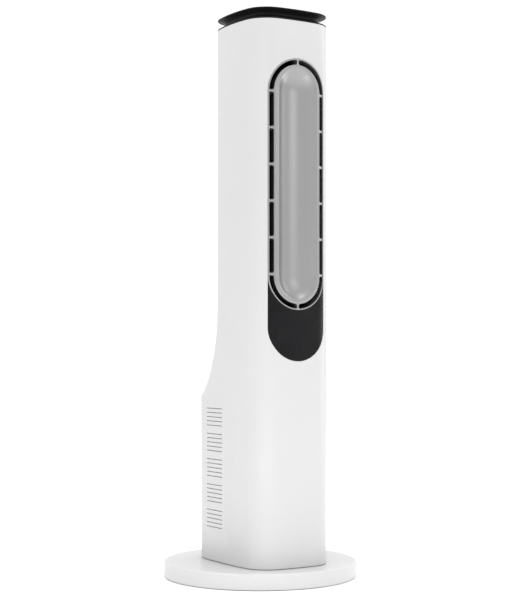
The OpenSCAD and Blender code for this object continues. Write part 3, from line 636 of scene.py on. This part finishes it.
def brushed(name, colour, rough):
    """A bare metal, with fine lines round the vertical axis."""
    f = Finish(name, colour, rough, metallic=1.0)
    lines = f.noise(6, 3, 0.6, f.stretch(40, 40, 900))
    f.vary_colour(f.span(lines, 0, 1), [c * 0.8 for c in colour])
    f.vary_rough(lines, rough * 0.8, rough * 1.3)
    f.bump(lines, 0.01, 0.5)
    return f.m


def mesh_cloth():
    f = Finish("filter_mesh", (0.9, 0.9, 0.9), 0.8)
    waves = []
    for direction in ("Y", "Z"):
        w = f.add("ShaderNodeTexWave", wave_type="BANDS", bands_direction=direction)
        w.inputs["Scale"].default_value = 260
        w.inputs["Distortion"].default_value = 0.6
        w.inputs["Detail"].default_value = 1
        f.link(f.where, w.inputs["Vector"])
        waves.append(w.outputs["Fac"])
    both = f.add("ShaderNodeMath", operation="MULTIPLY")
    f.link(waves[0], both.inputs[0])
    f.link(waves[1], both.inputs[1])
    f.vary_colour(f.span(both.outputs[0], 1, 0, 0.0, 0.6), (0.8, 0.8, 0.805))
    f.bump(both.outputs[0], 0.15)
    return f.m


def board():
    f = Finish("circuit_board", (0.02, 0.13, 0.06), 0.35, coat=0.4)
    v = f.add("ShaderNodeTexVoronoi", feature="DISTANCE_TO_EDGE", distance="MANHATTAN")
    v.inputs["Scale"].default_value = 180
    f.link(f.where, v.inputs["Vector"])
    f.vary_colour(f.span(v.outputs["Distance"], 1, 0, 0.02, 0.06), (0.05, 0.26, 0.12))
    f.vary_rough(f.noise(90, 3), 0.28, 0.42)
    f.bump(v.outputs["Distance"], 0.03, 0.4)
    return f.m


def coils():
    f = Finish("copper_wire", (0.62, 0.24, 0.08), 0.3, metallic=1.0)
    w = f.add("ShaderNodeTexWave", wave_type="BANDS", bands_direction="Z")
    w.inputs["Scale"].default_value = 500
    f.link(f.where, w.inputs["Vector"])
    f.vary_colour(f.span(w.outputs["Fac"], 1, 0, 0.0, 0.5), (0.32, 0.10, 0.03))
    f.vary_rough(f.noise(90, 2), 0.22, 0.4)
    f.bump(w.outputs["Fac"], 0.12)
    return f.m


finishes = {
    "gloss_white": gloss_white(),
    "black_satin": satin_black(),
    "black_gloss": gloss_black(),
    "satin_silver": satin_silver(),
    "black_plastic": plain("black_plastic", (0.007, 0.007, 0.007), 0.6),
    "grey_plastic": plain("grey_plastic", (0.16, 0.16, 0.165), 0.5),
    "white_plastic": plain("white_plastic", (0.70, 0.70, 0.69), 0.42),
    "nylon": plain("nylon", (0.74, 0.71, 0.62), 0.4, (0.66, 0.63, 0.54)),
    "rubber": plain("rubber", (0.018, 0.018, 0.018), 0.78, depth=0.05, grain=500),
    "steel": brushed("steel", (0.55, 0.56, 0.57), 0.3),
    "circuit_board": board(),
    "cable_grey": plain("ribbon_cable", (0.38, 0.38, 0.39), 0.6),
    "brass": brushed("brass", (0.70, 0.50, 0.22), 0.28),
    "copper": coils(),
    "magnet": plain("magnet", (0.05, 0.05, 0.055), 0.6, metallic=0.6),
    "filter_mesh": mesh_cloth(),
}


def dress(obj, slot):
    obj.data.materials.clear()
    obj.data.materials.append(finishes[slot])


for part in frame["record"]["subparts"]:
    dress(nodes[part["node"]], part["material_slot"])
    shade(nodes[part["node"]], CAD_DEG)

for obj, body, slot, replaced in (
    (front_casing, "column", "gloss_white", ["front_casing"]),
    (rear_casing, "column", "gloss_white", ["rear_casing"]),
    (cap, "column", "black_satin", ["top_cap"]),
    (outlet_ring, "column", "satin_silver", ["outlet_frame"]),
    (outlet_ribs, "column", "satin_silver", ["outlet_frame"]),
    (insert, "column", "satin_silver", ["outlet_insert"]),
    (skirt, "column", "black_plastic", ["outlet_insert"]),
    (panel, "column", "black_gloss", ["control_panel"]),
    (base, "base", "gloss_white", ["base_cover"]),
):
    dress(obj, slot)
    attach(obj, body)
    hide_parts(*replaced)

# ---------------------------------------------------------------- studio


def softbox(name, place, target, size, power):
    """A white rectangular light, in metres and watts, that faces the target."""
    data = bpy.data.lights.new(name, "AREA")
    data.shape, data.size, data.size_y = "RECTANGLE", *size
    data.energy = power
    obj = bpy.data.objects.new(name, data)
    bpy.context.scene.collection.objects.link(obj)
    obj.location = place
    obj.rotation_euler = (Vector(target) - Vector(place)).to_track_quat("-Z", "Y").to_euler()


FLOOR_REACH, WORLD_LIGHT = 30, 1.06
floor_mesh = bpy.data.meshes.new("floor")
floor_corners = [(x * FLOOR_REACH, y * FLOOR_REACH, 0) for x, y in ((-1, -1), (1, -1), (1, 1), (-1, 1))]
floor_mesh.from_pydata(floor_corners, [], [(0, 1, 2, 3)])
floor = bpy.data.objects.new("floor", floor_mesh)
bpy.context.scene.collection.objects.link(floor)
ground = Finish("studio_floor", (0.96, 0.96, 0.96), 0.6)
ground.vary_colour(ground.span(ground.noise(3, 2), 0, 1), (0.955, 0.955, 0.955))
floor_mesh.materials.append(ground.m)

world = bpy.data.worlds.new("studio")
world.use_nodes = True
world.node_tree.nodes["Background"].inputs[0].default_value = (1, 1, 1, 1)
world.node_tree.nodes["Background"].inputs[1].default_value = WORLD_LIGHT
bpy.context.scene.world = world

for light in (
    ("key", (1.6, -2.6, 1.5), (0, 0, 0.45), (1.3, 1.8), 4.5),
    ("left", (-2.4, -1.9, 1.7), (0, 0, 0.4), (0.8, 1.6), 4),
    ("right", (2.6, -0.2, 1.5), (0, 0, 0.5), (1.2, 1.4), 6),
    ("top", (0, 0, 3.0), (0, 0, 0), (2.5, 2.5), 52),
    ("fill", (-0.40, -0.63, 0.04), (0, -0.05, 0.08), (0.8, 0.06), 0.8),
    ("low_right", (2.0, -0.3, 0.25), (0, 0, 0.6), (0.8, 0.4), 2),
):
    softbox(*light)

# ---------------------------------------------------------------- camera

CAMERA_AT, CAMERA_AIM = (-1.1098, -1.7735, 0.3338), (0.5336, 0.8457, 0.0)
LENS, SENSOR, SHIFT_UP = 85.8, 36.0, 0.078

cam_data = bpy.data.cameras.new("camera")
cam_data.lens, cam_data.sensor_width = LENS, SENSOR
cam_data.shift_y = SHIFT_UP
camera = bpy.data.objects.new("camera", cam_data)
camera.location = CAMERA_AT
camera.rotation_euler = Vector(CAMERA_AIM).to_track_quat("-Z", "Y").to_euler()
bpy.context.scene.collection.objects.link(camera)
bpy.context.scene.camera = camera
bpy.context.scene.view_settings.view_transform = "Standard"
